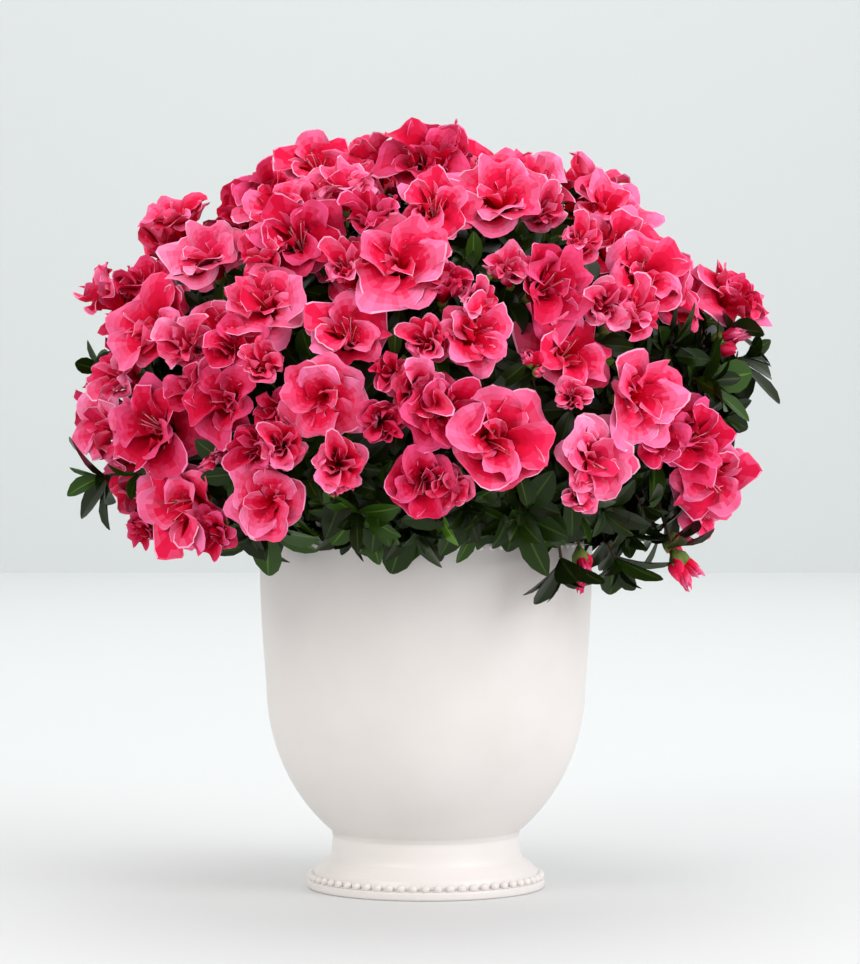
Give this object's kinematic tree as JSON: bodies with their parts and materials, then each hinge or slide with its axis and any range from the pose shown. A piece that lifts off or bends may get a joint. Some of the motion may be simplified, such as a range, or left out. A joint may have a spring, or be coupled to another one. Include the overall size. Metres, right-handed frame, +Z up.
{
  "type": "potted azalea shrub",
  "caption": "Dome-shaped azalea shrub in full bloom, with pink double flowers and dark leaves, in a round footed white glazed pot.",
  "frame": {"origin": "middle of the flat underside of the pot's foot, on the surface that the pot stands on", "axes": "+Z up, -Y towards the front seen in the picture, +X to the right seen from the front"},
  "size_m": [0.4031, 0.3731, 0.4222],
  "materials": {
    "white_glaze": "smooth warm white glaze, soft gloss",
    "potting_mix": "dark moist peat mix, dull and crumbly",
    "bark": "thin grey-brown bark, dull",
    "foliage_and_flowers": "soft pink petals over dark green glossy leaves"
  },
  "bodies": {
    "root": {"pot": "white_glaze", "potting_mix": "potting_mix", "trunk": "bark", "bough_left": "bark", "bough_front_left": "bark", "bough_front": "bark", "bough_front_right": "bark", "bough_right": "bark", "bough_back_1": "bark", "bough_back_2": "bark", "bough_back_3": "bark", "bough_back_4": "bark", "bough_back_5": "bark", "bough_crown_left": "bark", "bough_crown_right": "bark", "bough_crown_back": "bark", "foliage_left_skirt": "foliage_and_flowers", "foliage_left_waist": "foliage_and_flowers", "foliage_left_shoulder": "foliage_and_flowers", "foliage_front_left_skirt": "foliage_and_flowers", "foliage_front_left_waist": "foliage_and_flowers", "foliage_front_left_shoulder": "foliage_and_flowers", "foliage_front_skirt": "foliage_and_flowers", "foliage_front_waist": "foliage_and_flowers", "foliage_front_shoulder": "foliage_and_flowers", "foliage_front_right_skirt": "foliage_and_flowers", "foliage_front_right_waist": "foliage_and_flowers", "foliage_front_right_shoulder": "foliage_and_flowers", "foliage_right_skirt": "foliage_and_flowers", "foliage_right_waist": "foliage_and_flowers", "foliage_right_shoulder": "foliage_and_flowers", "foliage_crown_left_upper_outer": "foliage_and_flowers", "foliage_crown_left_upper": "foliage_and_flowers", "foliage_crown_left_top": "foliage_and_flowers", "foliage_crown_right_upper_outer": "foliage_and_flowers", "foliage_crown_right_top": "foliage_and_flowers", "foliage_crown_right_top_outer": "foliage_and_flowers", "foliage_crown_back_top_front": "foliage_and_flowers", "foliage_crown_back_top_left": "foliage_and_flowers", "foliage_crown_back_top": "foliage_and_flowers", "foliage_crown_back_summit": "foliage_and_flowers", "foliage_crown_back_top_right": "foliage_and_flowers", "foliage_back_1_lower": "foliage_and_flowers", "foliage_back_1_upper": "foliage_and_flowers", "foliage_back_2_lower": "foliage_and_flowers", "foliage_back_2_upper": "foliage_and_flowers", "foliage_back_3_lower": "foliage_and_flowers", "foliage_back_3_upper": "foliage_and_flowers", "foliage_back_4_lower": "foliage_and_flowers", "foliage_back_4_upper": "foliage_and_flowers", "foliage_back_5_lower": "foliage_and_flowers", "foliage_back_5_upper": "foliage_and_flowers"}
  },
  "joints": []
}
